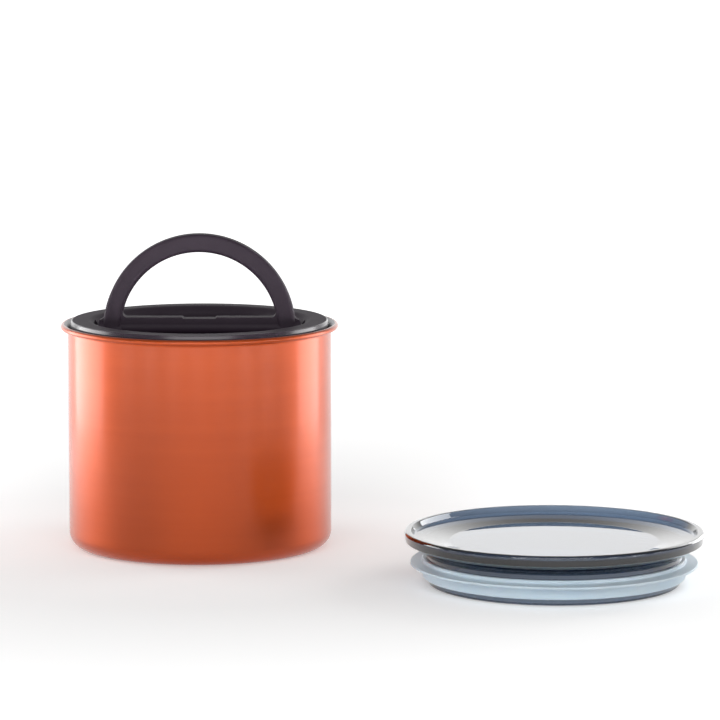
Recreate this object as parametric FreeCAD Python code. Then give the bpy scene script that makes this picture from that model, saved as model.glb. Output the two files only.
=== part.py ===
import FreeCAD, Part
import math
import os

# Coffee canister with a plunger lid that vents through a valve, and its clear outer lid beside it.
# Millimetres, +Z up. The origin is the centre of the canister's base and the photographed front is -Y.

# Canister: a drawn steel cup whose rim flares out and rolls over into a bead
body_d = 120.0
wall = 0.7
rim_top_z = 102.3
rim_reach = 3.15
curl_r = 0.9
base_round = 7.0
flare_turn_deg = 60.0
curl_turn_deg = 270.0

# Plunger frame: flat top ring, recess for the handle, and a skirt down into the canister
ring_rise = 1.6
ring_gap = 0.5
ring_w = 12.0
ring_t = 3.0
ring_bevel_in = 0.55
ring_bevel_h = 1.6
ring_edge_round = 0.4
ring_under_round = 0.5
recess_edge_round = 4.2
recess_foot_round = 1.0
recess_wall = 2.0
pan_t = 2.2
skirt_gap = 1.7
skirt_t = 2.2
guide_d = 11.0
guide_h = 3.8
guide_gap = 1.85
pivot_boss_w = 10.0
pivot_boss_reach = 4.7
notch_w = 11.2
notch_deep = 1.2
access_hole_d = 4.8
vent_count = 8
vent_w = 1.6
vent_inner_r = 8.0
vent_outer_r = 15.0

# Handle: an arch with an eye on each foot and a crossbar whose lower edge is a round off-centre rod, the cam
handle_side_gap = 3.0
handle_w = 8.1
handle_depth = 9.0
handle_round = 1.6
pivot_drop = 4.7
eye_r = 4.7
eye_round = 0.8
eye_floor_gap = 2.0
eye_lap = 0.7
eye_end_gap = 0.6
crossbar_rise = 5.9
crossbar_depth = 7.4
crossbar_corner_round = 2.0
crossbar_edge_round = 0.4
crossbar_lap_share = 0.5
dip_half_w = 7.8
dip_deep = 0.6
cam_r = 3.2

# Pivot pins: pressed into the frame, running in the handle's eyes
pin_d = 4.0
pin_running_gap = 0.05
pin_into_handle = 8.7
pin_end_gap = 0.5

# Base plate: closes the plunger from below, with the valve's opening and its spoked hub
base_floor_t = 2.5
base_edge_h = 4.0
base_spigot_h = 8.0
base_spigot_t = 2.2
base_edge_round = 1.0
hub_d = 10.4
hub_h = 3.0
spoke_count = 4
spoke_w = 2.0
port_d = 17.2
port_lip = 1.0
collar_wall = 1.0
collar_h = 5.0

# Lip seal: a silicone ring clamped between skirt and base plate, wiping the canister's wall
seal_t = 3.0
seal_wall_gap = 0.3
seal_bore_gap = 0.3
seal_lip_reach = 1.0
seal_lip_t = 1.2

# Valve: a stem pushed down by the cam, a soft disc over a soft seat, and a spring that lifts it
valve_lift = 2.0
cam_gap = 0.2
stem_d = 5.0
stem_running_gap = 0.05
stem_top_round = 0.8
stem_flange_inset = 2.8
stem_flange_t = 1.5
tail_d = 4.0
tail_running_gap = 0.06
tail_end_gap = 0.2
disc_overlap = 0.2
disc_t = 2.0
seat_w = 2.0
seat_h = 3.0
seat_round = 0.6
seat_groove = 1.0
seat_gap = 0.15
clip_d = 10.0
clip_t = 0.7
spring_d = 7.2
spring_wire_d = 0.6
spring_turns = 2.5
spring_end_gap = 0.05

# Outer lid: a clear dished cover lying on its foot ring, to the right and in front of the canister
lid_x = 158.0
lid_y = -93.7
lid_d = 131.4
lid_panel_d = 92.0
lid_panel_drop = 4.8
lid_panel_t = 2.4
lid_panel_round = 3.0
lid_crest_w = 3.1
lid_crest_round = 1.2
lid_lip_run = 1.4
lid_lip_drop = 2.6
lid_edge_h = 4.6
lid_edge_taper = 0.5
lid_edge_round = 0.7
lid_overhang = 9.4
lid_flare_h = 4.6
lid_neck_h = 2.6
lid_neck_round = 1.5
lid_seat_deep = 2.5
lid_foot_step = 1.4
lid_foot_h = 2.9
lid_foot_round = 0.8
lid_wall = 2.2

# Lid gasket: a soft ring round the lid's neck with one thin flared lip
gasket_h = 8.5
gasket_t = 3.8
gasket_round = 0.5
gasket_lip_w = 5.3
gasket_lip_drop = 2.5
gasket_lip_t = 1.0
gasket_lip_root = 1.8
gasket_lip_round = 0.3

# Every cut runs past the faces it opens by this much, and shorter edges than the other are left out
overrun = 1.0
least_edge = 1e-6

# Places that several pieces share
bore_r = body_d / 2 - wall
ring_r = bore_r - ring_gap
ring_top_z = rim_top_z + ring_rise
recess_r = ring_r - ring_w
pivot_z = ring_top_z - pivot_drop
pan_z = pivot_z - eye_r - eye_floor_gap
guide_end_z = pan_z - pan_t - guide_h
skirt_r = bore_r - skirt_gap
skirt_bore_r = skirt_r - skirt_t
pivot_boss_end = recess_r + pivot_boss_reach
eye_end = recess_r - eye_end_gap
pin_inner_end = eye_end - pin_into_handle
handle_outer_r = recess_r - handle_side_gap
handle_inner_r = handle_outer_r - handle_w
cam_offset = valve_lift / 2
stem_top_z = pivot_z + cam_offset - cam_r - cam_gap
seat_in_r = port_d / 2 + port_lip
seat_out_r = seat_in_r + seat_w
disc_r = seat_out_r + disc_overlap
flange_z = guide_end_z - guide_gap - stem_flange_t
disc_z = flange_z - disc_t
clip_z = disc_z - clip_t
seat_top_z = disc_z - valve_lift - seat_gap
seat_z = seat_top_z - seat_h
base_z = seat_z + seat_groove - collar_h
hub_top_z = base_z + hub_h
tail_end_z = base_z + valve_lift + tail_end_gap
seal_z = base_z + base_edge_h
skirt_z = seal_z + seal_t
gasket_seat_r = lid_d / 2 - lid_overhang - lid_seat_deep
gasket_top_z = lid_foot_h + gasket_h

across = FreeCAD.Vector(1, 0, 0)
back = FreeCAD.Vector(0, 1, 0)
up = FreeCAD.Vector(0, 0, 1)
origin = FreeCAD.Vector(0, 0, 0)


def outline_face(corners):
    """A face in the XZ plane through (x, z, radius) corners, each rounded by its own radius."""
    spots = [FreeCAD.Vector(x, 0, z) for x, z, radius in corners]
    turns = []
    for i, (x, z, radius) in enumerate(corners):
        here = spots[i]
        behind = (spots[i - 1] - here).normalize()
        ahead = (spots[(i + 1) % len(spots)] - here).normalize()
        half = behind.getAngle(ahead) / 2
        reach = radius / math.tan(half)
        inward = (behind + ahead).normalize() if radius else origin
        middle = here + inward * (radius / math.sin(half) - radius)
        turns.append((here + behind * reach, middle, here + ahead * reach, radius))
    edges = []
    for i, (start, middle, end, radius) in enumerate(turns):
        before = turns[i - 1][2]
        if before.distanceToPoint(start) > least_edge:
            edges.append(Part.LineSegment(before, start).toShape())
        if radius:
            edges.append(Part.Arc(start, middle, end).toShape())
    return Part.Face(Part.Wire(edges))


def turned(corners):
    """A solid of revolution about Z from (r, z, radius) corners."""
    return outline_face(corners).revolve(origin, up, 360)


def laid(face, z):
    """A face drawn in XZ laid flat at height z, its own Z along +Y."""
    flat = face.rotated(origin, across, -90)
    return flat.translated(up * z)


def rod_x(radius, start, end, y, z):
    """A round rod along X."""
    return Part.makeCylinder(radius, end - start, FreeCAD.Vector(start, y, z), across)


def box_between(low, high):
    """A box from its low corner to its high corner."""
    size = high - low
    return Part.makeBox(size.x, size.y, size.z, low)


def both_sides(shape):
    """A shape on the +X side and its mirror image on the -X side."""
    return [shape, shape.mirror(origin, across)]


def polar(centre, radius, angle_deg):
    """The point at an angle on a circle in the XZ plane."""
    angle = math.radians(angle_deg)
    return centre + FreeCAD.Vector(radius * math.cos(angle), 0, radius * math.sin(angle))


def canister_shell():
    """One sheet turned about Z: flat base, rounded corner, straight wall, flare and rolled bead."""
    half = wall / 2
    flare = math.radians(flare_turn_deg)
    wall_mid_r = body_d / 2 - half
    curl = FreeCAD.Vector(body_d / 2 + rim_reach - half - curl_r, 0, rim_top_z - half - curl_r)
    flare_r = (curl.x - wall_mid_r - curl_r * math.cos(flare)) / (1 - math.cos(flare))
    bend = FreeCAD.Vector(wall_mid_r + flare_r, 0, curl.z - (flare_r - curl_r) * math.sin(flare))
    corner = FreeCAD.Vector(body_d / 2 - base_round, 0, base_round)
    leave_deg = 180 - flare_turn_deg
    end_deg = leave_deg - curl_turn_deg
    arcs = [
        (corner, base_round, -90, 0),
        (bend, flare_r - half, 180, leave_deg),
        (curl, curl_r - half, leave_deg, end_deg),
        (curl, curl_r + half, end_deg, leave_deg),
        (bend, flare_r + half, leave_deg, 180),
        (corner, base_round - wall, 0, -90),
    ]
    edges = []
    last = origin
    for centre, radius, start_deg, stop_deg in arcs:
        angles = (start_deg, (start_deg + stop_deg) / 2, stop_deg)
        start, middle, end = [polar(centre, radius, angle) for angle in angles]
        if last.distanceToPoint(start) > least_edge:
            edges.append(Part.LineSegment(last, start).toShape())
        edges.append(Part.Arc(start, middle, end).toShape())
        last = end
    edges.append(Part.LineSegment(last, up * wall).toShape())
    edges.append(Part.LineSegment(up * wall, origin).toShape())
    return Part.Face(Part.Wire(edges)).revolve(origin, up, 360)


def vent_slots():
    """Slots with round ends through the pan floor, evenly spaced about the stem guide."""
    half = vent_w / 2
    slot = laid(outline_face([
        (vent_inner_r, -half, half),
        (vent_outer_r, -half, half),
        (vent_outer_r, half, half),
        (vent_inner_r, half, half),
    ]), pan_z - pan_t - overrun).extrude(up * (pan_t + 2 * overrun))
    return [slot.rotated(origin, up, 360 * (i + 0.5) / vent_count) for i in range(vent_count)]


def plunger_frame():
    """Top ring, recess with a pan floor, stem guide and skirt, with bosses and notches for the pivots."""
    recess_back_r = recess_r + recess_wall
    under_ring_z = ring_top_z - ring_t
    under_pan_z = pan_z - pan_t
    stem_hole_r = stem_d / 2 + stem_running_gap
    body = turned([
        (stem_hole_r, pan_z, 0),
        (recess_r, pan_z, recess_foot_round),
        (recess_r, ring_top_z, recess_edge_round),
        (ring_r - ring_bevel_in, ring_top_z, ring_edge_round),
        (ring_r, ring_top_z - ring_bevel_h, ring_edge_round),
        (ring_r, under_ring_z, ring_under_round),
        (skirt_r, under_ring_z, 0),
        (skirt_r, skirt_z, 0),
        (skirt_bore_r, skirt_z, 0),
        (skirt_bore_r, under_ring_z, 0),
        (recess_back_r, under_ring_z, 0),
        (recess_back_r, under_pan_z, 0),
        (guide_d / 2, under_pan_z, 0),
        (guide_d / 2, guide_end_z, 0),
        (stem_hole_r, guide_end_z, 0),
    ])
    boss = box_between(
        FreeCAD.Vector(recess_r + recess_wall / 2, -pivot_boss_w / 2, pivot_z - pivot_boss_w / 2),
        FreeCAD.Vector(pivot_boss_end, pivot_boss_w / 2, under_ring_z + ring_t / 2))
    notch = box_between(
        FreeCAD.Vector(recess_r - recess_foot_round, -notch_w / 2, pan_z),
        FreeCAD.Vector(recess_r + notch_deep, notch_w / 2, ring_top_z + overrun))
    pin_hole = rod_x(pin_d / 2, recess_r, pivot_boss_end + overrun, 0, pivot_z)
    access_hole = rod_x(access_hole_d / 2, pivot_boss_end + overrun, skirt_r + overrun, 0, pivot_z)
    body = body.fuse(both_sides(boss))
    body = body.cut(both_sides(notch) + both_sides(pin_hole) + both_sides(access_hole) + vent_slots())
    return body.removeSplitter()


def crossbar():
    """The flat bar that stands on the cam between the legs, its upper corners rounded, a shallow dip on top."""
    q = crossbar_corner_round
    round_x = math.sqrt((handle_inner_r - q) ** 2 - (crossbar_rise + q) ** 2)
    round_z = crossbar_rise + q
    touch = FreeCAD.Vector(round_x, 0, round_z) * (handle_inner_r / (handle_inner_r - q))
    lap = touch * ((handle_inner_r + handle_w * crossbar_lap_share) / handle_inner_r)
    between_deg = (math.degrees(math.atan2(round_z, round_x)) - 90) / 2
    middle = polar(FreeCAD.Vector(round_x, 0, round_z), q, between_deg)
    half_side = [
        FreeCAD.Vector(0, 0, cam_offset),
        FreeCAD.Vector(lap.x, 0, cam_offset),
        lap,
        touch,
        middle,
        FreeCAD.Vector(round_x, 0, crossbar_rise),
        FreeCAD.Vector(dip_half_w, 0, crossbar_rise),
        FreeCAD.Vector(dip_half_w - dip_deep, 0, crossbar_rise - dip_deep),
        FreeCAD.Vector(0, 0, crossbar_rise - dip_deep),
    ]
    edges = []
    for sign in (1, -1):
        spots = [FreeCAD.Vector(sign * spot.x, 0, spot.z) for spot in half_side]
        for start, end in ((0, 1), (1, 2), (2, 3), (5, 6), (6, 7), (7, 8)):
            edges.append(Part.LineSegment(spots[start], spots[end]).toShape())
        edges.append(Part.Arc(spots[3], spots[4], spots[5]).toShape())
    face = Part.Face(Part.Wire(Part.__sortEdges__(edges)))
    bar = face.translated(back * (-crossbar_depth / 2)).extrude(back * crossbar_depth)
    shown = [
        edge for edge in bar.Edges
        if edge.BoundBox.ZMin > cam_offset
        and edge.BoundBox.XLength > crossbar_edge_round + dip_deep
        and math.hypot(edge.CenterOfMass.x, edge.CenterOfMass.z) < handle_inner_r
    ]
    return bar.makeFillet(crossbar_edge_round, shown)


def foot_web():
    """The hollow curve that spreads a leg's outer side onto the top of its eye."""
    end = eye_end - eye_round
    curve_r = (end ** 2 + eye_r ** 2 - handle_outer_r ** 2) / (2 * (handle_outer_r - eye_r))
    centre = FreeCAD.Vector(end, 0, eye_r + curve_r)
    leave = centre * (handle_outer_r / (handle_outer_r + curve_r))
    leave_deg = 180 + math.degrees(math.atan2(centre.z, centre.x))
    middle = polar(centre, curve_r, (leave_deg + 270) / 2)
    spots = [
        FreeCAD.Vector(end, 0, eye_r),
        FreeCAD.Vector(end, 0, 0),
        FreeCAD.Vector(handle_inner_r, 0, 0),
        FreeCAD.Vector(handle_inner_r, 0, leave.z),
        leave,
    ]
    edges = [Part.LineSegment(a, b).toShape() for a, b in zip(spots, spots[1:])]
    edges.append(Part.Arc(leave, middle, spots[0]).toShape())
    half = handle_depth / 2 - handle_round
    return Part.Face(Part.Wire(edges)).translated(back * -half).extrude(back * (2 * half))


def plunger_handle():
    """Half a rounded ring standing on two eyes, with the crossbar and the cam that works the valve."""
    half = handle_depth / 2
    section = outline_face([
        (handle_inner_r, -half, handle_round),
        (handle_outer_r, -half, handle_round),
        (handle_outer_r, half, handle_round),
        (handle_inner_r, half, handle_round),
    ])
    arch = section.revolve(origin, up, 180).rotated(origin, across, 90)
    eye = outline_face([
        (handle_inner_r - eye_lap, 0, 0),
        (handle_inner_r - eye_lap, eye_r, eye_round),
        (eye_end, eye_r, eye_round),
        (eye_end, 0, 0),
    ]).revolve(origin, across, 360)
    cam = rod_x(cam_r, -handle_inner_r, handle_inner_r, -cam_offset, cam_offset)
    bore = rod_x(pin_d / 2 + pin_running_gap, pin_inner_end - pin_end_gap, eye_end + overrun, 0, 0)
    handle = arch.fuse([crossbar(), cam] + both_sides(eye) + both_sides(foot_web())).cut(both_sides(bore))
    return handle.removeSplitter().translated(up * pivot_z)


def pivot_pin():
    """A plain steel pin from inside the handle's eye to the outer end of the frame's boss."""
    return rod_x(pin_d / 2, pin_inner_end, pivot_boss_end, 0, pivot_z)


def plunger_base_plate():
    """The plunger's underside: a dish with a spigot that presses into the skirt, and the valve's port."""
    floor_z = base_z + base_floor_t
    collar_r = seat_out_r + collar_wall
    collar_z = base_z + collar_h
    plate = turned([
        (port_d / 2, base_z, 0),
        (skirt_r, base_z, base_edge_round),
        (skirt_r, seal_z, 0),
        (skirt_bore_r, seal_z, 0),
        (skirt_bore_r, seal_z + base_spigot_h, 0),
        (skirt_bore_r - base_spigot_t, seal_z + base_spigot_h, 0),
        (skirt_bore_r - base_spigot_t, floor_z, 0),
        (collar_r, floor_z, 0),
        (collar_r, collar_z, 0),
        (seat_out_r, collar_z, 0),
        (seat_out_r, seat_z, 0),
        (seat_in_r, seat_z, 0),
        (seat_in_r, collar_z, 0),
        (port_d / 2, collar_z, 0),
    ])
    hub = Part.makeCylinder(hub_d / 2, hub_h, up * base_z)
    hub_hole = Part.makeCylinder(tail_d / 2 + tail_running_gap, hub_h + 2 * overrun, up * (base_z - overrun))
    spoke = box_between(
        FreeCAD.Vector(tail_d, -spoke_w / 2, base_z),
        FreeCAD.Vector((seat_in_r + seat_out_r) / 2, spoke_w / 2, floor_z))
    spokes = [spoke.rotated(origin, up, 360 * i / spoke_count) for i in range(spoke_count)]
    return plate.fuse([hub] + spokes).cut(hub_hole).removeSplitter()


def plunger_lip_seal():
    """A clamped band with two thin lips that bear on the canister's wall, drawn just clear of it."""
    lip_r = bore_r - seal_wall_gap
    top_z = seal_z + seal_t
    return turned([
        (skirt_bore_r + seal_bore_gap, seal_z, 0),
        (skirt_r, seal_z, 0),
        (lip_r, seal_z - seal_lip_reach, 0),
        (lip_r, seal_z - seal_lip_reach + seal_lip_t, 0),
        ((skirt_r + lip_r) / 2, seal_z + seal_t / 2, 0),
        (lip_r, top_z + seal_lip_reach - seal_lip_t, 0),
        (lip_r, top_z + seal_lip_reach, 0),
        (skirt_r, top_z, 0),
        (skirt_bore_r + seal_bore_gap, top_z, 0),
    ])


def valve_seat():
    """A soft ring pressed into the collar's groove, round on top where the disc comes down."""
    return turned([
        (seat_in_r, seat_z, 0),
        (seat_out_r, seat_z, 0),
        (seat_out_r, seat_top_z, seat_round),
        (seat_in_r, seat_top_z, seat_round),
    ])


def valve_stem():
    """A turned rod: rounded top under the cam, flange over the disc, and a tail down into the hub."""
    flange_r = disc_r - stem_flange_inset
    return turned([
        (0, tail_end_z, 0),
        (tail_d / 2, tail_end_z, 0),
        (tail_d / 2, flange_z, 0),
        (flange_r, flange_z, 0),
        (flange_r, flange_z + stem_flange_t, 0),
        (stem_d / 2, flange_z + stem_flange_t, 0),
        (stem_d / 2, stem_top_z, stem_top_round),
        (0, stem_top_z, 0),
    ])


def washer(outer_r, thickness, z):
    """A flat ring on the stem's tail."""
    ring = Part.makeCylinder(outer_r, thickness, up * z)
    return ring.cut(Part.makeCylinder(tail_d / 2, thickness + 2 * overrun, up * (z - overrun)))


def spring_arc(start, heading, end):
    """The arc that leaves start along heading and reaches end."""
    chord = end - start
    along = FreeCAD.Vector(chord).normalize()
    bend = heading.getAngle(along)
    aside = (heading - along * heading.dot(along)).normalize()
    middle = (start + end) / 2 + aside * (chord.Length / 2 * math.tan(bend / 2))
    return Part.Arc(start, middle, end).toShape()


def valve_spring():
    """A round wire coiled between the hub and the clip, each quarter turn drawn as two tangent arcs."""
    radius = spring_d / 2 - spring_wire_d / 2
    low_z = hub_top_z + spring_end_gap + spring_wire_d / 2
    high_z = clip_z - spring_end_gap - spring_wire_d / 2
    pitch = (high_z - low_z) / spring_turns
    steps = round(4 * spring_turns)

    def coil(turn):
        angle = 2 * math.pi * turn
        return FreeCAD.Vector(radius * math.cos(angle), radius * math.sin(angle), low_z + pitch * turn)

    def course(turn):
        angle = 2 * math.pi * turn
        rate = pitch / (2 * math.pi)
        return FreeCAD.Vector(-radius * math.sin(angle), radius * math.cos(angle), rate).normalize()

    edges = []
    for i in range(steps):
        first, second = coil(i / 4), coil((i + 1) / 4)
        leave, arrive = course(i / 4), course((i + 1) / 4)
        gap, lean = second - first, leave + arrive
        spread = 2 * (1 - leave.dot(arrive))
        reach = (math.sqrt(gap.dot(lean) ** 2 + spread * gap.dot(gap)) - gap.dot(lean)) / spread
        meet = (first + second + (leave - arrive) * reach) / 2
        heading = (second - first - (leave + arrive) * reach).normalize()
        edges.append(spring_arc(first, leave, meet))
        edges.append(spring_arc(meet, heading, second))
    path = Part.Wire(edges)
    wire_ring = Part.Wire(Part.Circle(coil(0), course(0), spring_wire_d / 2).toShape())
    samples = [coil(i / 48) for i in range(12 * steps + 1)]
    gaps = [a.distanceToPoint(b) for i, a in enumerate(samples) for b in samples[i + 24:]]
    print("spring: least gap between turns", round(min(gaps) - spring_wire_d, 3))
    return path.makePipeShell([wire_ring], True, False)


def lid_shell():
    """The clear cover: foot ring, gasket seat, neck, thick flange and a dished top with a flat panel."""
    edge_r = lid_d / 2
    crest_in_r = edge_r - lid_crest_w
    neck_r = edge_r - lid_overhang
    foot_r = gasket_seat_r + lid_foot_step
    inner_r = gasket_seat_r - lid_wall
    neck_top_z = gasket_top_z + lid_neck_h
    edge_z = neck_top_z + lid_flare_h
    crest_z = edge_z + lid_edge_h
    panel_z = crest_z - lid_panel_drop
    cover = turned([
        (0, panel_z, 0),
        (lid_panel_d / 2, panel_z, lid_panel_round),
        (crest_in_r - lid_lip_run, crest_z - lid_lip_drop, lid_crest_round),
        (crest_in_r, crest_z, lid_crest_round / 2),
        (edge_r, crest_z, lid_crest_round),
        (edge_r - lid_edge_taper, edge_z, lid_edge_round),
        (neck_r, neck_top_z, lid_neck_round),
        (neck_r, gasket_top_z, 0),
        (gasket_seat_r, gasket_top_z, 0),
        (gasket_seat_r, lid_foot_h, 0),
        (foot_r, lid_foot_h, 0),
        (foot_r, 0, lid_foot_round),
        (inner_r, 0, lid_foot_round),
        (inner_r, panel_z - lid_panel_t, lid_neck_round),
        (0, panel_z - lid_panel_t, 0),
    ])
    return cover.translated(FreeCAD.Vector(lid_x, lid_y, 0))


def lid_gasket():
    """A soft ring in the lid's seat with one thin lip standing out from its side."""
    side_r = gasket_seat_r + gasket_t
    lip_r = side_r + gasket_lip_w
    lip_z = gasket_top_z - gasket_lip_drop
    ring = turned([
        (gasket_seat_r, lid_foot_h, 0),
        (side_r, lid_foot_h, gasket_round),
        (side_r, lip_z - gasket_lip_root / 2, gasket_round),
        (lip_r, lip_z - gasket_lip_t / 2, gasket_lip_round),
        (lip_r, lip_z + gasket_lip_t / 2, gasket_lip_round),
        (side_r, lip_z + gasket_lip_root / 2, gasket_round),
        (side_r, gasket_top_z, gasket_round),
        (gasket_seat_r, gasket_top_z, 0),
    ])
    return ring.translated(FreeCAD.Vector(lid_x, lid_y, 0))


pin_right, pin_left = both_sides(pivot_pin())
pieces = {
    "canister_shell": canister_shell(),
    "plunger_frame": plunger_frame(),
    "plunger_base_plate": plunger_base_plate(),
    "plunger_lip_seal": plunger_lip_seal(),
    "plunger_handle": plunger_handle(),
    "pivot_pin_left": pin_left,
    "pivot_pin_right": pin_right,
    "valve_seat": valve_seat(),
    "valve_stem": valve_stem(),
    "valve_disc": washer(disc_r, disc_t, disc_z),
    "valve_clip": washer(clip_d / 2, clip_t, clip_z),
    "valve_spring": valve_spring(),
    "lid_shell": lid_shell(),
    "lid_gasket": lid_gasket(),
}

os.makedirs("parts", exist_ok=True)
for name, shape in pieces.items():
    if not shape.isValid() or len(shape.Solids) != 1:
        raise ValueError(f"{name} is not one sound solid")
    shape.exportStep(f"parts/{name}.step")
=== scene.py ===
import math

import bpy
import numpy as np
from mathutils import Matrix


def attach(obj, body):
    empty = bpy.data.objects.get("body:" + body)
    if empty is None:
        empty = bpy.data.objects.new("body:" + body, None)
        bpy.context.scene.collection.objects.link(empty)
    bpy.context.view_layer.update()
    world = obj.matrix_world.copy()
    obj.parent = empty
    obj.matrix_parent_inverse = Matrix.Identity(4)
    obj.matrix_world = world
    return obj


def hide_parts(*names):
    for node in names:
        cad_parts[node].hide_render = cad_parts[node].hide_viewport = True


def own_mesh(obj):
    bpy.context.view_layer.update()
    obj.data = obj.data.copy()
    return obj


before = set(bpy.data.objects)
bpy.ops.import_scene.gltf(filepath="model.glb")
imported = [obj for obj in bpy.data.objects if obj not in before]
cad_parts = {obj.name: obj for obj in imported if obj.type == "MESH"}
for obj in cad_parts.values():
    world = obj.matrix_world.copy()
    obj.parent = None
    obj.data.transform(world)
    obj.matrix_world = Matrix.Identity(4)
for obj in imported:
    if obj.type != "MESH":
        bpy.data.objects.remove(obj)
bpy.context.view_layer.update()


# Canister: one drawn cup of thin steel with a copper-coloured lacquer outside and bare metal inside.
# The wall is brushed round the axis, and the mouth flares out and rolls over into a bead.

MM = 0.001
ROUND_STEP = math.radians(6)
TURN_STEPS = 256
END_ROW, LONG_RUN = 0.3, 1.2
POLE_SPREAD = 1e-9

can_r, can_wall, can_base_round = 60.0, 0.7, 7.0
flare_r, flare_turn = 3.6, math.radians(60)
bead_r, bead_turn = 0.9, math.radians(270)
rim_top, rim_r = 102.3, 63.15
coat_end, coat_fade = math.radians(96), math.radians(12)


def arc(centre, radius, start, end):
    """Points on a circle in the (r, z) plane, from the start angle to the end angle in equal steps."""
    steps = max(2, math.ceil(abs(end - start) / ROUND_STEP))
    angle = np.linspace(start, end, steps + 1)
    return np.stack([centre[0] + radius * np.cos(angle), centre[1] + radius * np.sin(angle)], 1)


def with_end_rows(profile):
    """The profile with a point added END_ROW from both ends of each long straight run.

    Smooth shading then keeps the run flat."""
    step = np.diff(profile, axis=0)
    length = np.linalg.norm(step[:, :2], axis=1)
    run = np.flatnonzero(length > LONG_RUN)
    share = END_ROW / length[run, None]
    added = np.concatenate([profile[run] + step[run] * share, profile[run + 1] - step[run] * share])
    order = np.concatenate([np.arange(len(profile)), run + 0.3, run + 0.7])
    return np.concatenate([profile, added])[np.argsort(order)]


def surface(name, grid, looped):
    """A smooth mesh on a grid of points in mm, with its columns closed into rings.

    Rows close too where looped, and a row that is drawn into one spot becomes a pole."""
    rows, columns = grid.shape[:2]
    index = np.arange(rows * columns).reshape(rows, columns)
    pole = np.ptp(grid, axis=1).max(axis=1) < POLE_SPREAD
    index[pole] = index[pole, :1]
    below = np.roll(index, -1, 0)
    near, far = (index, below) if looped else (index[:-1], below[:-1])
    quads = np.stack([near, np.roll(near, -1, 1), np.roll(far, -1, 1), far], -1).reshape(-1, 4)
    leaves, meets = quads[:, 0] == quads[:, 1], quads[:, 2] == quads[:, 3]
    fans = np.concatenate([quads[leaves][:, [0, 2, 3]], quads[meets][:, [0, 1, 2]]])
    quads = quads[~(leaves | meets)]
    used, corner = np.unique(np.concatenate([quads.ravel(), fans.ravel()]), return_inverse=True)
    faces = corner[:quads.size].reshape(-1, 4).tolist() + corner[quads.size:].reshape(-1, 3).tolist()
    mesh = bpy.data.meshes.new(name)
    mesh.from_pydata((grid.reshape(-1, 3)[used] * MM).tolist(), [], faces)
    mesh.polygons.foreach_set("use_smooth", np.ones(len(mesh.polygons), bool))
    mesh.update()
    piece = bpy.data.objects.new(name, mesh)
    bpy.context.scene.collection.objects.link(piece)
    return piece, used


def turned(name, profile, centre=(0.0, 0.0), wave=None, looped=False):
    """A lathe surface: each (r, z) of the profile goes round the axis, with z raised by wave(turn, r)."""
    turn = np.linspace(0, 2 * math.pi, TURN_STEPS, endpoint=False)
    r, z = profile[:, :1], profile[:, 1:2]
    rise = wave(turn, r) if wave else 0 * r
    grid = np.stack(np.broadcast_arrays(
        centre[0] + r * np.cos(turn), centre[1] + r * np.sin(turn), z + rise), -1)
    return surface(name, grid, looped)


def canister_profile():
    """(r, z, coat) up the sheet's outer side, round the bead and down the inner side.

    coat is 1 outside and falls to 0 just past the crest."""
    half = can_wall / 2
    bead = (rim_r - half - bead_r, rim_top - half - bead_r)
    bend = (can_r - half + flare_r, bead[1] - (flare_r - bead_r) * math.sin(flare_turn))
    corner = (can_r - can_base_round, can_base_round)
    leave = math.pi - flare_turn
    end = leave - bead_turn
    outside = np.concatenate([
        [[0.0, 0.0]],
        arc(corner, can_base_round, -math.pi / 2, 0),
        arc(bend, flare_r - half, math.pi, leave),
        arc(bead, bead_r - half, leave, end),
    ])
    crest = arc(bead, bead_r + half, end, leave)
    crest_coat = np.clip((coat_end - np.linspace(end, leave, len(crest))) / coat_fade + 1, 0, 1)
    inside = np.concatenate([
        arc(bend, flare_r + half, leave, math.pi),
        arc(corner, can_base_round - can_wall, 0, -math.pi / 2),
        [[0.0, can_wall]],
    ])
    coat = np.concatenate([np.ones(len(outside)), crest_coat, np.zeros(len(inside))])
    return with_end_rows(np.column_stack([np.concatenate([outside, crest, inside]), coat]))


sheet_profile = canister_profile()
canister, canister_rows = turned("canister", sheet_profile)
coat_attribute = canister.data.attributes.new("coat", "FLOAT", "POINT")
coat_values = np.repeat(sheet_profile[:, 2], TURN_STEPS)[canister_rows]
coat_attribute.data.foreach_set("value", coat_values.astype(np.float32))
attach(canister, "canister")
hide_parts("canister_shell")


def place(tree, kind, settings=None, inputs=None):
    """A node with its settings made, and its inputs given values or linked to sockets by name or number."""
    node = tree.nodes.new(kind)
    for key, value in (settings or {}).items():
        setattr(node, key, value)
    for key, value in (inputs or {}).items():
        if isinstance(value, bpy.types.NodeSocket):
            tree.links.new(value, node.inputs[key])
        else:
            node.inputs[key].default_value = value
    return node


def finish_material(name):
    """A new node material with only its output, and its tree."""
    material = bpy.data.materials.new(name)
    material.use_nodes = True
    tree = material.node_tree
    tree.nodes.clear()
    return material, tree, place(tree, "ShaderNodeOutputMaterial")


def maths(tree, operation, first, second=0.0):
    """The socket of one sum on values or sockets."""
    return place(tree, "ShaderNodeMath", {"operation": operation}, {0: first, 1: second}).outputs[0]


def spread(tree, value, low, high):
    """A 0 to 1 socket stretched to run from low to high."""
    return place(tree, "ShaderNodeMapRange", None, {
        "Value": value, "To Min": low, "To Max": high}).outputs[0]


def blend(tree, share, first, second):
    """The colour between two colours or sockets."""
    return place(tree, "ShaderNodeMix", {"data_type": "RGBA"}, {0: share, 6: first, 7: second}).outputs[2]


def axis_distance(tree, spot):
    """The distance of a spot from the upright axis through the origin."""
    flat = place(tree, "ShaderNodeVectorMath", {"operation": "MULTIPLY"}, {0: spot, 1: (1, 1, 0)}).outputs[0]
    return place(tree, "ShaderNodeVectorMath", {"operation": "LENGTH"}, {0: flat}).outputs["Value"]


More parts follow.
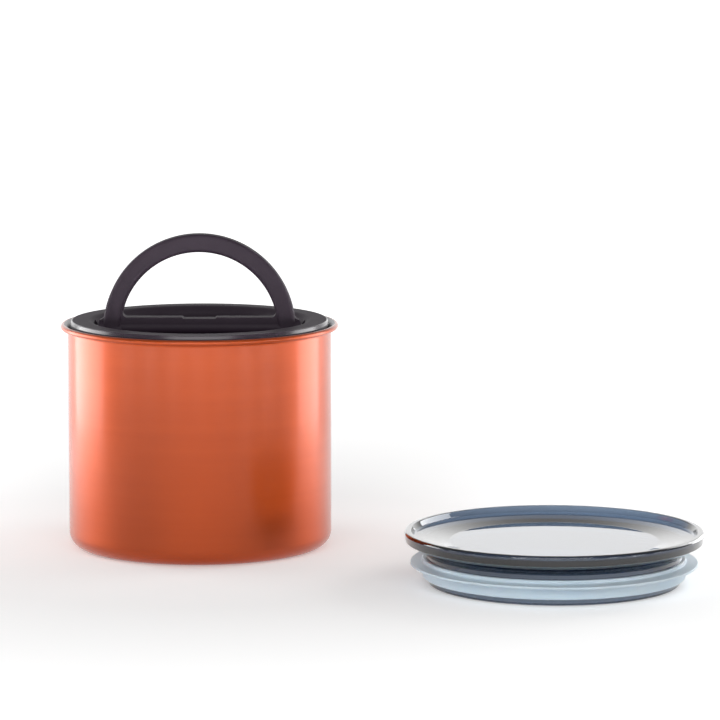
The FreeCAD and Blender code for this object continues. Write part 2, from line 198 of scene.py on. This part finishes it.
def effect_group(name, inputs, outputs):
    """An empty shader node group with named float inputs and outputs, and its two end nodes."""
    group = bpy.data.node_groups.new(name, "ShaderNodeTree")
    for label, value in inputs.items():
        socket = group.interface.new_socket(label, in_out="INPUT", socket_type="NodeSocketFloat")
        socket.default_value = value
    for label in outputs:
        group.interface.new_socket(label, in_out="OUTPUT", socket_type="NodeSocketFloat")
    return group, group.nodes.new("NodeGroupInput"), group.nodes.new("NodeGroupOutput")


def brushed_rings():
    """Brushing round an upright axis, fine and broad.

    The noise is squeezed along height and radius and drawn out along the turn."""
    group, given, made = effect_group(
        "brushed_rings", {"Lines per metre": 3500.0, "Bands per metre": 260.0}, ("Fine", "Broad"))
    here = place(group, "ShaderNodeTexCoord").outputs["Object"]
    spot = place(group, "ShaderNodeSeparateXYZ", None, {0: here})
    x, y = spot.outputs[0], spot.outputs[1]
    across = maths(group, "ADD", spot.outputs[2], axis_distance(group, here))
    layers = (("Fine", "Lines per metre", 40.0, 3.0), ("Broad", "Bands per metre", 9.0, 2.0))
    for label, scale, along, detail in layers:
        drawn = place(group, "ShaderNodeCombineXYZ", None, {
            0: maths(group, "MULTIPLY", x, along), 1: maths(group, "MULTIPLY", y, along),
            2: maths(group, "MULTIPLY", across, given.outputs[scale])}).outputs[0]
        noise = place(group, "ShaderNodeTexNoise", None, {"Vector": drawn, "Scale": 1.0, "Detail": detail})
        group.links.new(noise.outputs[0], made.inputs[label])
    return group


def handling_marks():
    """Soft patches left by hands and wiping, and fine specks of dust, as two masks."""
    group, given, made = effect_group(
        "handling_marks", {"Patches per metre": 28.0, "Specks per metre": 900.0}, ("Patches", "Specks"))
    here = place(group, "ShaderNodeTexCoord").outputs["Object"]
    patches = place(group, "ShaderNodeTexNoise", None, {
        "Vector": here, "Scale": given.outputs["Patches per metre"],
        "Detail": 4.0, "Roughness": 0.6}).outputs[0]
    specks = place(group, "ShaderNodeTexVoronoi", None, {
        "Vector": here, "Scale": given.outputs["Specks per metre"]}).outputs["Distance"]
    group.links.new(place(group, "ShaderNodeMapRange", None, {
        "Value": patches, "From Min": 0.35, "From Max": 0.7}).outputs[0], made.inputs["Patches"])
    group.links.new(place(group, "ShaderNodeMapRange", None, {
        "Value": specks, "From Min": 0.16, "From Max": 0.05}).outputs[0], made.inputs["Specks"])
    return group


RINGS = brushed_rings()
MARKS = handling_marks()
copper_deep, copper_bright = (0.44, 0.057, 0.003, 1), (0.49, 0.067, 0.005, 1)
copper_line, copper_line_share = (0.54, 0.098, 0.014, 1), 0.25
bare_dull, bare_bright = (0.50, 0.50, 0.51, 1), (0.68, 0.68, 0.69, 1)
brushed_smooth, brushed_rough, wiped_rougher = 0.46, 0.56, 0.05


def lacquered_copper():
    """Copper-coloured lacquer over brushed steel, which shows bare where the coat attribute fades out."""
    material, tree, out = finish_material("lacquered_copper")
    rings = place(tree, "ShaderNodeGroup", {"node_tree": RINGS})
    marks = place(tree, "ShaderNodeGroup", {"node_tree": MARKS})
    coat = place(tree, "ShaderNodeAttribute", {"attribute_name": "coat"}).outputs["Fac"]
    lines = maths(tree, "MULTIPLY", rings.outputs["Fine"], copper_line_share)
    copper = blend(tree, rings.outputs["Broad"], copper_deep, copper_bright)
    copper = blend(tree, lines, copper, copper_line)
    bare = blend(tree, rings.outputs["Fine"], bare_dull, bare_bright)
    rough = maths(tree, "ADD", spread(tree, rings.outputs["Fine"], brushed_smooth, brushed_rough),
                  maths(tree, "MULTIPLY", marks.outputs["Patches"], wiped_rougher))
    bump = place(tree, "ShaderNodeBump", None, {
        "Strength": 0.10, "Distance": 0.00005, "Height": rings.outputs["Fine"]})
    tangent = place(tree, "ShaderNodeTangent", {"direction_type": "RADIAL", "axis": "Z"})
    surface_node = place(tree, "ShaderNodeBsdfPrincipled", None, {
        "Base Color": blend(tree, coat, bare, copper), "Metallic": 1.0, "Roughness": rough,
        "Anisotropic": 0.42, "Anisotropic Rotation": 0.25, "Tangent": tangent.outputs[0],
        "Coat Weight": coat, "Coat Roughness": 0.2, "Coat IOR": 1.4, "Normal": bump.outputs[0]})
    tree.links.new(surface_node.outputs[0], out.inputs[0])
    return material


canister.data.materials.append(lacquered_copper())


# Plunger frame, base plate, handle and valve stem: injection-moulded black plastic with a fine matte grain.
# The base plate snaps up into the frame's skirt, and the handle's eyes turn on two pins in the frame.
# The frame's outside, where it rubs and is gripped, is smoother than the rest.

worn_r, worn_fade = 57.7, 0.4
worn_smoother, worn_gloss = 0.36, 0.8
grain_per_metre, grain_smooth, grain_rough = 1900.0, 0.58, 0.66
grain_deep, grain_worn = 0.35, 0.08
black_deep, black_pale = (0.027, 0.0145, 0.028, 1), (0.034, 0.0205, 0.035, 1)
black_dust, black_dust_share = (0.20, 0.18, 0.20, 1), 0.08


def matte_black_plastic():
    """Near-black plastic, slightly purple, with a moulded grain that is worn smooth outside worn_r."""
    material, tree, out = finish_material("matte_black")
    marks = place(tree, "ShaderNodeGroup", {"node_tree": MARKS})
    spot = place(tree, "ShaderNodeTexCoord").outputs["Object"]
    grain = place(tree, "ShaderNodeTexNoise", None, {
        "Vector": spot, "Scale": grain_per_metre, "Detail": 3.0}).outputs[0]
    worn = place(tree, "ShaderNodeMapRange", None, {
        "Value": axis_distance(tree, spot),
        "From Min": worn_r * MM, "From Max": (worn_r + worn_fade) * MM}).outputs[0]
    dust = maths(tree, "MULTIPLY", marks.outputs["Specks"], black_dust_share)
    colour = blend(tree, marks.outputs["Patches"], black_deep, black_pale)
    colour = blend(tree, dust, colour, black_dust)
    rough = maths(tree, "SUBTRACT", spread(tree, grain, grain_smooth, grain_rough),
                  maths(tree, "MULTIPLY", worn, worn_smoother))
    bump = place(tree, "ShaderNodeBump", None, {
        "Strength": spread(tree, worn, grain_deep, grain_worn), "Distance": 0.00008, "Height": grain})
    surface_node = place(tree, "ShaderNodeBsdfPrincipled", None, {
        "Base Color": colour, "Roughness": rough, "IOR": 1.5, "Specular IOR Level": 0.4,
        "Normal": bump.outputs[0], "Coat Weight": maths(tree, "MULTIPLY", worn, worn_gloss),
        "Coat Roughness": 0.22, "Coat IOR": 1.5})
    tree.links.new(surface_node.outputs[0], out.inputs[0])
    return material


black = matte_black_plastic()
for node in ("plunger_frame", "plunger_base_plate", "plunger_handle", "valve_stem"):
    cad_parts[node].material_slots[0].material = black


# Pivot pins and valve clip: plain bright steel.
# The pins are cut from drawn wire and pressed into the frame's bosses.
# The clip is a stamped ring pushed onto the stem's tail.

steel_dull, steel_bright = (0.52, 0.52, 0.53, 1), (0.70, 0.70, 0.71, 1)
steel_smooth, steel_rough, steel_wiped = 0.18, 0.32, 0.1


def bright_steel():
    """Drawn steel with fine lines round its length and a little dullness from handling."""
    material, tree, out = finish_material("bright_steel")
    rings = place(tree, "ShaderNodeGroup", {"node_tree": RINGS})
    marks = place(tree, "ShaderNodeGroup", {"node_tree": MARKS})
    colour = blend(tree, rings.outputs["Fine"], steel_dull, steel_bright)
    rough = maths(tree, "ADD", spread(tree, rings.outputs["Fine"], steel_smooth, steel_rough),
                  maths(tree, "MULTIPLY", marks.outputs["Patches"], steel_wiped))
    surface_node = place(tree, "ShaderNodeBsdfPrincipled", None, {
        "Base Color": colour, "Metallic": 1.0, "Roughness": rough})
    tree.links.new(surface_node.outputs[0], out.inputs[0])
    return material


steel = bright_steel()
for node in ("pivot_pin_left", "pivot_pin_right", "valve_clip"):
    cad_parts[node].material_slots[0].material = steel


# Valve spring: round steel wire coiled between the base plate's hub and the clip.
# Its lower end stays on the hub, and it rides with the plunger; in use the valve presses it together.

coil_r, wire_r, coil_turns = 3.3, 0.3, 2.5
coil_low, coil_high = 75.35, 80.10
WIRE_SIDES, COIL_STEPS, DOME_STEPS = 16, 48, 4


def wire_coil():
    """A tube round a helix: at each step a circle across the wire.

    At both ends the circles are drawn in to a spot in a quarter round."""
    dome = np.linspace(0, math.pi / 2, DOME_STEPS + 1)
    steps = round(COIL_STEPS * coil_turns)
    inset = wire_r * (1 - np.cos(dome)) / (2 * math.pi * coil_r * coil_turns)
    travel = np.concatenate([inset, np.linspace(0, 1, steps + 1)[1:-1], 1 - inset[::-1]])
    girth = np.concatenate([np.sin(dome), np.ones(steps - 1), np.sin(dome[::-1])])
    angle = 2 * math.pi * coil_turns * travel
    outward = np.stack([np.cos(angle), np.sin(angle), 0 * angle], -1)
    rate = (coil_high - coil_low) / (2 * math.pi * coil_turns)
    along = np.stack([-coil_r * np.sin(angle), coil_r * np.cos(angle), 0 * angle + rate], -1)
    along /= np.linalg.norm(along, axis=1, keepdims=True)
    upward = np.cross(along, outward)
    middle = coil_r * outward + np.array([0, 0, 1]) * (coil_low + (coil_high - coil_low) * travel)[:, None]
    side = np.linspace(0, 2 * math.pi, WIRE_SIDES, endpoint=False)[None, :, None]
    ring = outward[:, None] * np.cos(side) + upward[:, None] * np.sin(side)
    return middle[:, None] + wire_r * girth[:, None, None] * ring


spring, _ = surface("spring", wire_coil(), False)
spring.data.materials.append(steel)
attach(spring, "plunger")
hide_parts("valve_spring")
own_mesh(spring)


# Lip seal, valve disc and valve seat: moulded grey silicone, soft and slightly dusty.
# The seal is clamped between skirt and base plate, and the seat is pressed into its groove.
# The disc sits on the stem.

edge_break = 0.12
seal_in_r, seal_web_r, seal_valley_r, seal_lip_r = 55.7, 57.6, 58.3, 59.0
seal_mid, web_half, lip_root, lip_tip = 77.5, 1.5, 1.3, 2.5
seal_outline = [
    (seal_in_r, seal_mid - web_half, 0), (seal_web_r, seal_mid - web_half, 0.3),
    (seal_lip_r, seal_mid - lip_tip, 0.3), (seal_lip_r, seal_mid - lip_root, 0.3),
    (seal_valley_r, seal_mid, 0.5),
    (seal_lip_r, seal_mid + lip_root, 0.3), (seal_lip_r, seal_mid + lip_tip, 0.3),
    (seal_web_r, seal_mid + web_half, 0.3), (seal_in_r, seal_mid + web_half, 0),
]
seat_in_r, seat_out_r, seat_low, seat_high = 9.6, 11.6, 76.0, 79.0
seat_outline = [
    (seat_in_r, seat_low, 0), (seat_out_r, seat_low, 0),
    (seat_out_r, seat_high, 0.6), (seat_in_r, seat_high, 0.6),
]
disc_in_r, disc_out_r, disc_low, disc_high = 2.0, 11.8, 81.15, 83.15
disc_outline = [
    (disc_in_r, disc_low, 0), (disc_out_r, disc_low, 0.35),
    (disc_out_r, disc_high, 0.5), (disc_in_r, disc_high, 0),
]
grey_dark, grey_light = (0.26, 0.28, 0.30, 1), (0.33, 0.35, 0.37, 1)
grey_dust, grey_dust_share = (0.62, 0.62, 0.62, 1), 0.3
grey_smooth, grey_rough = 0.45, 0.6


def rounded_outline(corners):
    """An (r, z) outline from (r, z, radius) corners: each becomes the arc that touches both its sides."""
    spots = np.array([corner[:2] for corner in corners], float)
    runs = []
    for i, (r, z, radius) in enumerate(corners):
        here = spots[i]
        radius = radius or (edge_break if r else 0)
        to_last, to_next = spots[i - 1] - here, spots[(i + 1) % len(spots)] - here
        to_last, to_next = to_last / np.linalg.norm(to_last), to_next / np.linalg.norm(to_next)
        half = math.acos(np.clip(to_last @ to_next, -1, 1)) / 2
        if not radius:
            runs.append(here[None, :])
            continue
        inward = (to_last + to_next) / np.linalg.norm(to_last + to_next)
        centre = here + inward * radius / math.sin(half)
        first = here + to_last * radius / math.tan(half) - centre
        last = here + to_next * radius / math.tan(half) - centre
        start = math.atan2(first[1], first[0])
        sweep = (math.atan2(last[1], last[0]) - start + math.pi) % (2 * math.pi) - math.pi
        runs.append(arc(centre, radius, start, start + sweep))
    return with_end_rows(np.concatenate(runs))


def grey_silicone():
    """Grey silicone with a satin skin and fine dust."""
    material, tree, out = finish_material("grey_silicone")
    marks = place(tree, "ShaderNodeGroup", {"node_tree": MARKS})
    dust = maths(tree, "MULTIPLY", marks.outputs["Specks"], grey_dust_share)
    colour = blend(tree, marks.outputs["Patches"], grey_dark, grey_light)
    colour = blend(tree, dust, colour, grey_dust)
    rough = spread(tree, marks.outputs["Patches"], grey_smooth, grey_rough)
    surface_node = place(tree, "ShaderNodeBsdfPrincipled", None, {
        "Base Color": colour, "Roughness": rough, "IOR": 1.41})
    tree.links.new(surface_node.outputs[0], out.inputs[0])
    return material


silicone = grey_silicone()
for name, outline, node, body in (
    ("lip_seal", seal_outline, "plunger_lip_seal", "plunger"),
    ("seat_ring", seat_outline, "valve_seat", "plunger"),
    ("sealing_disc", disc_outline, "valve_disc", "valve"),
):
    ring, _ = turned(name, rounded_outline(outline), looped=True)
    ring.data.materials.append(silicone)
    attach(ring, body)
    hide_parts(node)


# Outer lid: one clear smoke-coloured moulding, polished, lying on its foot ring beside the canister.
# Its flat panel is dished below a thick flange, and the neck below carries the gasket.

lid_centre = (158.0, -93.7)
groove_r, groove_low, groove_high = 53.8, 2.9, 11.4
foot_in_r, foot_out_r, neck_r, neck_high = 51.6, 55.2, 56.3, 14.0
flange_low_r, flange_r, flange_low, flange_high = 65.2, 65.7, 18.6, 23.2
dish_r, dish_step_r, dish_step = 62.6, 61.2, 20.6
panel_r, panel_low, panel_high = 46.0, 16.0, 18.4
lid_outline = [
    (0, panel_low, 0), (foot_in_r, panel_low, 1.5), (foot_in_r, 0, 0.8), (foot_out_r, 0, 0.8),
    (foot_out_r, groove_low, 0), (groove_r, groove_low, 0),
    (groove_r, groove_high, 0), (neck_r, groove_high, 0), (neck_r, neck_high, 1.5),
    (flange_low_r, flange_low, 0.7), (flange_r, flange_high, 1.2), (dish_r, flange_high, 0.6),
    (dish_step_r, dish_step, 1.2), (panel_r, panel_high, 3.0), (0, panel_high, 0),
]
lid_clear = (0.96, 0.98, 1.0, 1)
smoke_colour, smoke_density = (0.18, 0.33, 0.49, 1), 600.0
polish_smooth, polish_wiped, polish_dust = 0.010, 0.03, 0.06


def smoke_clear_plastic():
    """Clear plastic that absorbs light in its depth, red most, with faint wiped patches and dust."""
    material, tree, out = finish_material("smoke_clear_plastic")
    marks = place(tree, "ShaderNodeGroup", {"node_tree": MARKS})
    rough = maths(tree, "ADD", spread(tree, marks.outputs["Patches"], polish_smooth, polish_wiped),
                  maths(tree, "MULTIPLY", marks.outputs["Specks"], polish_dust))
    surface_node = place(tree, "ShaderNodeBsdfPrincipled", None, {
        "Base Color": lid_clear, "Roughness": rough, "IOR": 1.57, "Transmission Weight": 1.0,
        "Coat Weight": 0.55, "Coat Roughness": 0.02, "Coat IOR": 1.6})
    depth = place(tree, "ShaderNodeVolumeAbsorption", None, {
        "Color": smoke_colour, "Density": smoke_density})
    tree.links.new(surface_node.outputs[0], out.inputs["Surface"])
    tree.links.new(depth.outputs[0], out.inputs["Volume"])
    return material


lid, _ = turned("lid", rounded_outline(lid_outline), lid_centre)
lid.data.materials.append(smoke_clear_plastic())
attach(lid, "lid")
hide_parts("lid_shell")


# Lid gasket: a soft ring of pale translucent silicone, moulded with one thin flared lip.
# It is stretched over the lid's foot and springs back into the neck's groove.

gasket_clear = 0.04
gasket_in, gasket_side, gasket_lip = groove_r + gasket_clear, 57.6, 62.9
gasket_low, gasket_high = groove_low + gasket_clear, groove_high - gasket_clear
flare_low, flare_high, flare_end_low, flare_end_high = 8.0, 9.8, 8.4, 9.4
gasket_outline = [
    (gasket_in, gasket_low, 0), (gasket_side, gasket_low, 0.5), (gasket_side, flare_low, 0.5),
    (gasket_lip, flare_end_low, 0.3), (gasket_lip, flare_end_high, 0.3), (gasket_side, flare_high, 0.5),
    (gasket_side, gasket_high, 0.5), (gasket_in, gasket_high, 0),
]
lip_waves = ((0.10, 3, 0.6), (0.06, 7, 2.1))
pale_deep, pale_light = (0.73, 0.88, 1.0, 1), (0.79, 0.91, 1.0, 1)
pale_smooth, pale_rough = 0.28, 0.42


def lip_wave(turn, r):
    """The lip's free edge rises and falls a little round the ring, more the further it stands out."""
    reach = np.clip((r - gasket_side) / (gasket_lip - gasket_side), 0, 1) ** 2
    return reach * sum(height * np.sin(count * turn + start) for height, count, start in lip_waves)


def pale_silicone():
    """Pale blue silicone that light soaks through, with a satin skin that is wiped in patches."""
    material, tree, out = finish_material("pale_silicone")
    marks = place(tree, "ShaderNodeGroup", {"node_tree": MARKS})
    colour = blend(tree, marks.outputs["Patches"], pale_deep, pale_light)
    rough = spread(tree, marks.outputs["Patches"], pale_smooth, pale_rough)
    surface_node = place(tree, "ShaderNodeBsdfPrincipled", None, {
        "Base Color": colour, "Roughness": rough, "IOR": 1.41, "Transmission Weight": 0.04,
        "Subsurface Weight": 0.15, "Subsurface Radius": (0.0012, 0.0016, 0.0020), "Subsurface Scale": 1.0})
    tree.links.new(surface_node.outputs[0], out.inputs[0])
    return material


gasket, _ = turned("gasket", rounded_outline(gasket_outline), lid_centre, lip_wave, looped=True)
gasket.data.materials.append(pale_silicone())
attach(gasket, "lid")
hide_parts("lid_gasket")


# Studio: a wide pale floor that glows less near the objects, a painted shade round them, and turns white in
# the distance; and a surround that is brightest at the back.
# Two soft lamps stand close at the sides, and a wide one hangs high in front.
# Low lamps with grids stand in a row round the front, and one more lights the lid.

floor_half, floor_drop = 30.0, 0.00025
floor_white = (0.86, 0.86, 0.86, 1)
# Painted shade: the floor's added glow is weaker close to the objects and stronger far off, so the floor
# darkens round them, also in reflections.
near_floor, far_floor, near_lift_painted_shade, far_lift = 0.15, 0.6, 0.31, 0.95


def pale_floor():
    """Matt white that keeps soft shadows, lifted towards plain white for rays that see it as the background;
    the lift is weaker near the objects, a painted shade round them that metal reflects too.
    """
    material, tree, out = finish_material("pale_floor")
    path = place(tree, "ShaderNodeLightPath")
    seen = maths(tree, "ADD", path.outputs["Is Camera Ray"], path.outputs["Is Glossy Ray"])
    seen = maths(tree, "MINIMUM", maths(tree, "ADD", seen, path.outputs["Is Transmission Ray"]), 1.0)
    here = place(tree, "ShaderNodeTexCoord").outputs["Object"]
    away = place(tree, "ShaderNodeVectorMath", {"operation": "LENGTH"}, {0: here}).outputs["Value"]
    # Painted shade: less glow near the objects darkens the floor round them and the copper's lower part that
    # reflects it.
    lift_with_painted_shade = place(tree, "ShaderNodeMapRange", None, {
        "Value": away, "From Min": near_floor, "From Max": far_floor,
        "To Min": near_lift_painted_shade, "To Max": far_lift}).outputs[0]
    matt = place(tree, "ShaderNodeBsdfDiffuse", None, {"Color": floor_white})
    glow = place(tree, "ShaderNodeEmission", None, {"Strength": maths(tree, "MULTIPLY", seen, lift_with_painted_shade)})
    both = place(tree, "ShaderNodeAddShader", None, {0: matt.outputs[0], 1: glow.outputs[0]})
    tree.links.new(both.outputs[0], out.inputs[0])
    return material


floor_mesh = bpy.data.meshes.new("floor")
floor_corners = np.array([[-1, -1], [1, -1], [1, 1], [-1, 1]]) * floor_half
floor_corners = np.column_stack([floor_corners, np.full(4, -floor_drop)])
floor_mesh.from_pydata(floor_corners.tolist(), [], [[0, 1, 2, 3]])
floor = bpy.data.objects.new("floor", floor_mesh)
bpy.context.scene.collection.objects.link(floor)
floor.data.materials.append(pale_floor())

front_level, side_level, back_level, top_level = 0.22, 0.5, 1.4, 0.3
side_start, side_end = -0.3, 0.4
back_start, back_end = 0.7, 0.95
top_start, top_end = 0.2, 0.5
world = bpy.data.worlds.new("studio")
world.use_nodes = True
bpy.context.scene.world = world
sky = world.node_tree
sky.nodes.clear()
facing = place(sky, "ShaderNodeSeparateXYZ", None, {
    0: place(sky, "ShaderNodeTexCoord").outputs["Generated"]})


def ramp(value, low, high):
    """A mask that rises smoothly from 0 to 1 while the value goes from low to high."""
    return place(sky, "ShaderNodeMapRange", {"interpolation_type": "SMOOTHSTEP"}, {
        "Value": value, "From Min": low, "From Max": high}).outputs[0]


around = spread(sky, ramp(facing.outputs[1], side_start, side_end), front_level, side_level)
behind = maths(sky, "MULTIPLY", ramp(facing.outputs[1], back_start, back_end), back_level - side_level)
around = maths(sky, "ADD", around, behind)
top_change = maths(sky, "SUBTRACT", top_level, around)
to_top = maths(sky, "MULTIPLY", ramp(facing.outputs[2], top_start, top_end), top_change)
surround = place(sky, "ShaderNodeBackground", None, {
    "Color": (1, 1, 1, 1), "Strength": maths(sky, "ADD", around, to_top)})
sky.links.new(surround.outputs[0], place(sky, "ShaderNodeOutputWorld").inputs[0])


OPEN_BEAM = 180.0


def soft_lamp(name, spot, aim, size, level, beam=OPEN_BEAM):
    """A flat rectangular lamp at spot, facing aim, whose face shines at the given level along its axis.

    A grid on its front can narrow the beam to the given full angle in degrees."""
    lamp = bpy.data.lights.new(name, "AREA")
    lamp.shape, lamp.size, lamp.size_y = "RECTANGLE", size[0], size[1]
    lamp.spread = math.radians(beam)
    half = lamp.spread / 2
    gather = 1.0 if beam == OPEN_BEAM else math.tan(half) / (math.tan(half) - half)
    lamp.energy = level / gather * math.pi * size[0] * size[1]
    holder = bpy.data.objects.new(name, lamp)
    bpy.context.scene.collection.objects.link(holder)
    holder.location = spot
    line = np.array(aim) - np.array(spot)
    tip = math.acos(-line[2] / np.linalg.norm(line))
    holder.rotation_euler = (tip, 0, math.atan2(line[0], -line[1]) + math.pi)


soft_lamp("left_lamp", spot=(-0.350, 0.104, 0.125), aim=(0, 0, 0.12), size=(0.29, 0.24), level=3.9)
soft_lamp("right_lamp", spot=(0.352, 0.098, 0.125), aim=(0, 0, 0.12), size=(0.20, 0.24), level=3.7)
low_reach, low_height, low_size, grid_beam = 1.2, 0.09, (0.44, 0.14), 20.0
low_row = ((-84, 11.0, 0.20), (-63, 24.5, 0.22), (-42, 22.5, 0.22), (-21, 18.5, 0.22), (0, 16.0, 0.22),
           (21, 16.0, 0.22), (42, 17.5, 0.17), (63, 17.5, 0.12), (84, 10.0, 0.13))
for degrees, brightness, aim_height in low_row:
    turn = math.radians(degrees)
    low_spot = (low_reach * math.sin(turn), -low_reach * math.cos(turn), low_height)
    soft_lamp(f"low_lamp_{degrees}", low_spot, (0, 0, aim_height), low_size, brightness, grid_beam)
soft_lamp("front_lamp", spot=(0.05, -1.25, 0.64), aim=(0.05, 0, 0.08), size=(1.4, 0.55), level=2.4)
soft_lamp("lid_lamp", spot=(-0.25, -0.85, 0.08), aim=(0.165, -0.13, 0.006), size=(0.2, 0.12), level=14.0,
          beam=grid_beam)

camera_spot = (0.0731, -2.0, 0.3619)
camera_pitch = math.radians(7.88)
lens = bpy.data.cameras.new("camera")
lens.lens, lens.sensor_width, lens.clip_end = 221.3, 36.0, 100.0
camera = bpy.data.objects.new("camera", lens)
bpy.context.scene.collection.objects.link(camera)
camera.location = camera_spot
camera.rotation_euler = (math.pi / 2 - camera_pitch, 0, 0)
bpy.context.scene.camera = camera
bpy.context.scene.view_settings.view_transform = "Standard"
